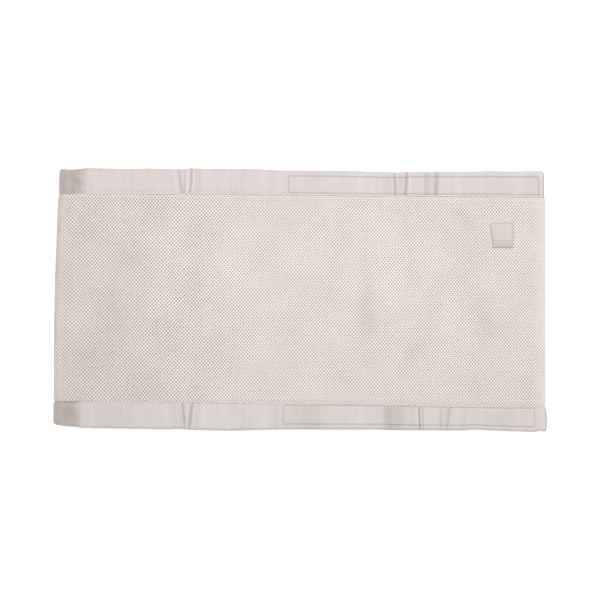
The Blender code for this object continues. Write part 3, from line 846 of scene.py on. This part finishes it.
def label_piece(material):
    """The label: a thin square whose top is a little puffed inside its row of stitches."""
    size = LABEL_STEPS + 1
    width, height = np.meshgrid(np.linspace(0, LABEL_WIDTH, size), np.linspace(0, LABEL_HEIGHT, size),
                                indexing="ij")
    inward = np.minimum(np.minimum(width, LABEL_WIDTH - width), np.minimum(height, LABEL_HEIGHT - height))
    relief = LABEL_PUFF[0] * ease(LABEL_INSET, LABEL_PUFF[1], inward)
    relief = relief - lines_at(LABEL_EDGE_DIPS, inward) - lines_at(LABEL_HEM_DIP, height)
    top = label_place(width, height, LABEL_CLOTH - LABEL_UNDER_PUFF + relief)
    under = label_place(width, height, 0.0)
    index = np.arange(size * size).reshape(size, size)
    quads = np.stack([index[:-1, :-1], index[1:, :-1], index[1:, 1:], index[:-1, 1:]], -1).reshape(-1, 4)
    border = joined([index[:-1, 0], index[-1, :-1], index[:0:-1, -1], index[0, :0:-1]])
    after = np.roll(border, -1)
    sides = np.stack([after, border, border + size * size, after + size * size], 1)
    faces = quads.tolist() + (quads[:, ::-1] + size * size).tolist() + sides.tolist()
    points = joined([top.reshape(-1, 3), under.reshape(-1, 3)])
    # Painted shadow along the right and top edges, painted shade at the hem's dip, and darker below the hem
    # and along a line under it
    strength, edge = LABEL_HEM_MARK
    shadow_and_hem_marks = strength * (1.0 - ease(LABEL_HEM - edge, LABEL_HEM + edge, height))
    shadow_and_hem_marks = np.maximum(shadow_and_hem_marks + lines_at(LABEL_MARKS, height), lines_at(LABEL_SIDE_SHADOW, width))
    shadow_and_hem_marks = np.maximum(shadow_and_hem_marks, lines_at(LABEL_TOP_SHADOW, height))
    cloth = np.stack([width, height], -1)
    return mesh_object("label_cloth", points, facing_out(points, faces), material,
                       {"cloth": np.stack([cloth, cloth])}, {"shadow_and_hem_marks": np.stack([shadow_and_hem_marks, shadow_and_hem_marks])})


def node(tree, kind, inputs, output=0, **settings):
    """The output of a new node, with its inputs given as values or as outputs of other nodes."""
    made = tree.nodes.new("ShaderNode" + kind)
    for name, value in settings.items():
        setattr(made, name, value)
    for name, value in inputs.items():
        if isinstance(value, bpy.types.NodeSocket):
            tree.links.new(value, made.inputs[name])
        else:
            made.inputs[name].default_value = value
    return made.outputs[output]


def maths(tree, operation, first, second):
    return node(tree, "Math", {0: first, 1: second}, operation=operation)


def vector(tree, operation, *inputs, output=0):
    return node(tree, "VectorMath", dict(enumerate(inputs)), output, operation=operation)


def mixed(tree, share, first, second, blend="MIX"):
    """A colour mixed from two, each a colour or an output."""
    return node(tree, "Mix", {0: share, 6: first, 7: second}, 2, data_type="RGBA", blend_type=blend)


def ranged(tree, value, low, high, new_low, new_high, kind="LINEAR"):
    inputs = dict(enumerate((value, low, high, new_low, new_high)))
    return node(tree, "MapRange", inputs, interpolation_type=kind)


def attribute(tree, name):
    return node(tree, "Attribute", {}, "Fac", attribute_name=name)


def grained(tree, where, grain):
    """The noise of a grain at a place."""
    scale, detail, stretch = grain[:3]
    if stretch:
        where = vector(tree, "MULTIPLY", where, stretch)
    return node(tree, "TexNoise", {"Scale": scale, "Detail": detail, "Vector": where})


def spread(tree, value, grain, kind="LINEAR"):
    """The noise of a grain brought to its darkest and lightest."""
    reach, dark, light = grain[3:]
    return ranged(tree, value, 0.5 - reach, 0.5 + reach, dark, light, kind)


def ribs(tree, where, scale, waver, direction):
    """Close ribs across one direction of a cloth."""
    inputs = {"Scale": scale, "Distortion": waver, "Detail": 1.0, "Vector": where}
    return node(tree, "TexWave", inputs, "Fac", bands_direction=direction)


def shade_by(tree, colour, factor):
    """The colour made lighter or darker by a factor near 1."""
    grey = node(tree, "CombineColor", {0: factor, 1: factor, 2: factor})
    return mixed(tree, 1.0, colour, grey, "MULTIPLY")


def shaded(tree, colour, value, grain):
    return shade_by(tree, colour, spread(tree, value, grain))


def marked_by(tree, colour, mark, shade):
    """The colour multiplied by a shade, a number or a colour, where a mark is 1."""
    if isinstance(shade, float):
        return shade_by(tree, colour, ranged(tree, mark, 0.0, 1.0, 1.0, shade))
    return mixed(tree, 1.0, colour, mixed(tree, mark, WHITE, shade), "MULTIPLY")


def new_material(name, roughness, **inputs):
    """A material and its tree. Its inputs are named with underlines for spaces."""
    material = bpy.data.materials.new(name)
    material.use_nodes = True
    shader = material.node_tree.nodes["Principled BSDF"]
    shader.inputs["Roughness"].default_value = roughness
    for name, value in inputs.items():
        shader.inputs[name.replace("_", " ")].default_value = value
    return material, material.node_tree


def coloured(material, colour, *bumps):
    """The material with its colour and its bumps, each bump over the one before."""
    tree = material.node_tree
    shader = tree.nodes["Principled BSDF"]
    tree.links.new(colour, shader.inputs["Base Color"])
    before = {}
    for bump in bumps:
        inputs = {"Strength": bump.strength, "Distance": bump.distance, "Height": bump.height, **before}
        before = {"Normal": node(tree, "Bump", inputs)}
    tree.links.new(before["Normal"], shader.inputs["Normal"])
    return material


def lattice_holes(tree):
    """1 inside the knit's holes and 0 between them, from the lattice layer."""
    where = node(tree, "UVMap", {}, uv_map="lattice")
    repeats = (HOLE_REPEAT[0] / HOLE_WIDTH, HOLE_REPEAT[1] / HOLE_HEIGHT, 0.0)
    distances = []
    for shift in (0.0, 0.5):
        part = vector(tree, "FRACTION", vector(tree, "ADD", where, (shift, shift, 0.0)))
        real = vector(tree, "MULTIPLY", vector(tree, "SUBTRACT", part, (0.5, 0.5, 0.0)), repeats)
        distances.append(vector(tree, "LENGTH", real, output="Value"))
    nearest = maths(tree, "MINIMUM", *distances)
    return ranged(tree, nearest, *HOLE_EDGE, 1.0, 0.0, "SMOOTHSTEP")


def knit_material():
    """The open knit: pale matt yarn, with painted shade down the sides of its holes and painted shade and
    light from its troughs.
    """
    material, tree = new_material("knit", 0.92, Sheen_Weight=0.08, Specular_IOR_Level=0.1)
    where = node(tree, "TexCoord", {}, "Object")
    fibres, clouds = (grained(tree, where, grain) for grain in (KNIT_FIBRES, KNIT_CLOUDS))
    patches = spread(tree, grained(tree, where, KNIT_PATCHES), KNIT_PATCHES)
    # Painted shade down the sides of the holes, on the rims' points
    rim_shade = ranged(tree, attribute(tree, "depth"), 0.15, 1.0, 0.0, 1.0, "SMOOTHSTEP")
    colour = mixed(tree, rim_shade, KNIT_COLOUR, KNIT_RIM_SHADE_COLOUR)
    colour = shaded(tree, colour, fibres, KNIT_FIBRES)
    colour = shaded(tree, colour, clouds, KNIT_CLOUDS)
    warm = maths(tree, "ADD", patches, attribute(tree, "warmth"))
    colour = mixed(tree, 1.0, colour, mixed(tree, warm, KNIT_LILAC, KNIT_CREAM), "MULTIPLY")
    # Painted shade and painted light from the troughs, ridges and folds
    colour = shade_by(tree, colour, ranged(tree, attribute(tree, "painted_knit_shade"), *KNIT_SHADE_RANGE, *KNIT_SHADE_FACTORS))
    return coloured(material, colour, Bump(fibres, strength=0.35, distance=0.0003))


def body_material():
    """The pile under the open knit, and the knit's pattern where its own face shows; the pile's colour is
    partly painted shade for the holes.
    """
    material, tree = new_material("pile", 0.95, Sheen_Weight=0.06, Specular_IOR_Level=0.1)
    strands = grained(tree, node(tree, "TexCoord", {}, "Object"), PILE_STRANDS)
    holes = lattice_holes(tree)
    # Where the mesh's own face shows, its holes are painted in the pile's colour, partly painted shade
    pattern = mixed(tree, holes, KNIT_COLOUR, PILE_COLOUR)
    covered = ranged(tree, attribute(tree, "covered"), 0.4, 0.6, 0.0, 1.0, "SMOOTHSTEP")
    colour = mixed(tree, covered, pattern, PILE_COLOUR)
    colour = shaded(tree, colour, strands, PILE_STRANDS)
    pits = maths(tree, "MULTIPLY", holes, -1.0)
    return coloured(material, colour, Bump(pits, strength=0.6, distance=0.0007),
                    Bump(strands, strength=0.4, distance=0.0004))


def cotton_material():
    """Plain woven cotton with a faint satin face, with painted shade where the knit's holes press through
    beside its seam.
    """
    material, tree = new_material("cotton", 0.46, Sheen_Weight=0.12, Sheen_Roughness=0.4)
    where, around = node(tree, "UVMap", {}, uv_map="cloth"), node(tree, "TexCoord", {}, "Object")
    warp, weft, waver = COTTON_WEAVE
    weave = maths(tree, "MULTIPLY", ribs(tree, where, warp, waver, "X"), ribs(tree, where, weft, waver, "Y"))
    slubs, streaks = (grained(tree, where, grain) for grain in (COTTON_SLUBS, COTTON_STREAKS))
    clouds, blotches = (grained(tree, around, grain) for grain in (COTTON_CLOUDS, COTTON_BLOTCHES))
    holes = maths(tree, "MULTIPLY", lattice_holes(tree), attribute(tree, "print_through_shade"))
    warm = spread(tree, clouds, COTTON_CLOUDS, "SMOOTHSTEP")
    colour = mixed(tree, warm, COTTON_COLOUR, COTTON_WARM_COLOUR)
    colour = shade_by(tree, colour, ranged(tree, weave, 0.0, 1.0, *WEAVE_SHADES))
    colour = shaded(tree, colour, slubs, COTTON_SLUBS)
    colour = shaded(tree, colour, streaks, COTTON_STREAKS)
    # Painted shade over the knit's holes where they press through the band
    colour = marked_by(tree, colour, holes, PRINT_SHADE)
    # The stitched grooves are darkened partly as painted shade in the grooves and partly for their needle
    # holes; then come painted light and painted shade
    for mark, shade in (("stitched", STITCHED_SHADE), ("painted_light", SEAM_PAINTED_LIGHT), ("painted_shade", CREASED_SHADE)):
        colour = marked_by(tree, colour, attribute(tree, mark), shade)
    # The left fold's painted shade, mottled by blotches
    turned = attribute(tree, "turned")
    colour = marked_by(tree, colour, turned, FOLD_SHADE)
    mottled = maths(tree, "MULTIPLY", maths(tree, "SUBTRACT", blotches, 0.5), turned)
    colour = shaded(tree, colour, maths(tree, "ADD", mottled, 0.5), COTTON_BLOTCHES)
    return coloured(material, colour, Bump(weave, strength=0.35, distance=0.00012),
                    Bump(slubs, strength=0.25, distance=0.0002),
                    Bump(maths(tree, "MULTIPLY", holes, -1.0), strength=0.4, distance=0.0004))


def label_material():
    """Fine woven label cloth with close ribs along it."""
    material, tree = new_material("label_cloth", 0.8, Sheen_Weight=0.25, Specular_IOR_Level=0.25)
    where = node(tree, "UVMap", {}, uv_map="cloth")
    along_x, along_y, waver = LABEL_WEAVE
    both = (ribs(tree, where, along_x, waver, "X"), ribs(tree, where, along_y, waver, "Y"))
    weave = maths(tree, "ADD", *(maths(tree, "MULTIPLY", *pair) for pair in zip(both, LABEL_WEAVE_SHARES)))
    colour = shade_by(tree, LABEL_COLOUR, ranged(tree, weave, 0.0, 1.0, *LABEL_WEAVE_SHADES))
    colour = shaded(tree, colour, grained(tree, where, LABEL_CLOUDS), LABEL_CLOUDS)
    # The label's painted shadow and shade at its edges and hem
    colour = marked_by(tree, colour, attribute(tree, "shadow_and_hem_marks"), LABEL_MARK_SHADE)
    return coloured(material, colour, Bump(weave, strength=0.5, distance=0.00015))


def thread_material(name, base):
    """Spun sewing thread."""
    material, tree = new_material(name, 0.6, Sheen_Weight=0.3, Specular_IOR_Level=0.25)
    twist = grained(tree, node(tree, "TexCoord", {}, "Object"), THREAD_TWIST)
    colour = shaded(tree, base, twist, THREAD_TWIST)
    return coloured(material, colour, Bump(twist, strength=0.5, distance=0.0001))


def camera():
    data = bpy.data.cameras.new("camera")
    data.sensor_width = SENSOR
    data.lens = SENSOR * (CAMERA_HEIGHT - TOP_SURFACE_Z) / PHOTO_WIDTH
    data.clip_end = 50.0
    made = added("camera", data)
    made.location = (SHIFT_X, 0.0, CAMERA_HEIGHT)
    bpy.context.scene.camera = made


def floor():
    """A plain pale floor just under the bumper."""
    material, _ = new_material("floor", 1.0, Specular_IOR_Level=0.0, Base_Color=FLOOR_COLOUR,
                               Emission_Color=WHITE, Emission_Strength=FLOOR_GLOW)
    corners = [(x * FLOOR_HALF, y * FLOOR_HALF, FLOOR_Z) for x, y in ((-1, -1), (1, -1), (1, 1), (-1, 1))]
    mesh_object("floor", corners, [[0, 1, 2, 3]], material)


def lights():
    """A white room and its lamps: one at the upper right, one overhead and a weak one at the left."""
    world = bpy.data.worlds.new("room")
    world.use_nodes = True
    background = world.node_tree.nodes["Background"]
    background.inputs["Color"].default_value = WHITE
    background.inputs["Strength"].default_value = ROOM_LIGHT
    bpy.context.scene.world = world
    for name, size, energy, where in LAMPS:
        lamp = bpy.data.lights.new(name, "AREA")
        lamp.shape, lamp.size, lamp.energy = "SQUARE", size, energy
        made = added(name, lamp)
        made.location = where
        made.rotation_euler = (-made.location).to_track_quat("-Z", "Y").to_euler()
        made.visible_camera = False


ALL_SPOTS = soft_spots()
SHIFT_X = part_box("band_top")[1][0] - (TOP_END_X + BAND_PAST_END)
LINE = Line(layer_points())
FACES = {side: Face(side) for side in (1, -1)}

camera()
lights()
floor()
bpy.context.scene.view_settings.view_transform = "Standard"

knit, pile, cotton = knit_material(), body_material(), cotton_material()
body = panel_body(pile)
upper_knit = knitted_face("mesh_knit", FACES[1], LINE.left - NET_LEAD, LINE.s[-4], knit, 3)
side_knit = knitted_face("mesh_knit_at_right_fold", FACES[-1], LINE.right - SIDE_NET_REACH,
                         LINE.right + SIDE_NET_REACH, knit, 4)
for piece in (body, upper_knit, side_knit):
    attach(piece, "root")
    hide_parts("mesh_panel")

thread = thread_material("band_thread", THREAD_COLOUR)
for cad_node, band in (
        ("band_top", Band(1.0, TOP_CREASES, TOP_HOLLOWS, TOP_STITCHING, TOP_BAND_END, 21)),
        ("band_bottom", Band(-1.0, BOTTOM_CREASES, BOTTOM_HOLLOWS, BOTTOM_STITCHING, BOTTOM_BAND_END, 22))):
    cloth = band_piece(cad_node + "_cloth", band, cotton)
    stitches = thread_piece(cad_node + "_stitches", stitched_round(band.point, band.stitching), thread)
    for piece in (cloth, stitches):
        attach(piece, "root")
    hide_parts(cad_node)

label = label_piece(label_material())
stitches = stitched_round(lambda x, y, above: label_place(x, y, LABEL_CLOTH - LABEL_SINK + above),
                          (LABEL_INSET, LABEL_WIDTH - LABEL_INSET,
                           LABEL_INSET, LABEL_HEIGHT - LABEL_INSET))
label_thread = thread_piece("label_stitches", stitches, thread_material("label_thread", LABEL_THREAD_COLOUR))
for piece in (label, label_thread):
    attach(piece, "root")
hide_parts("label_patch")
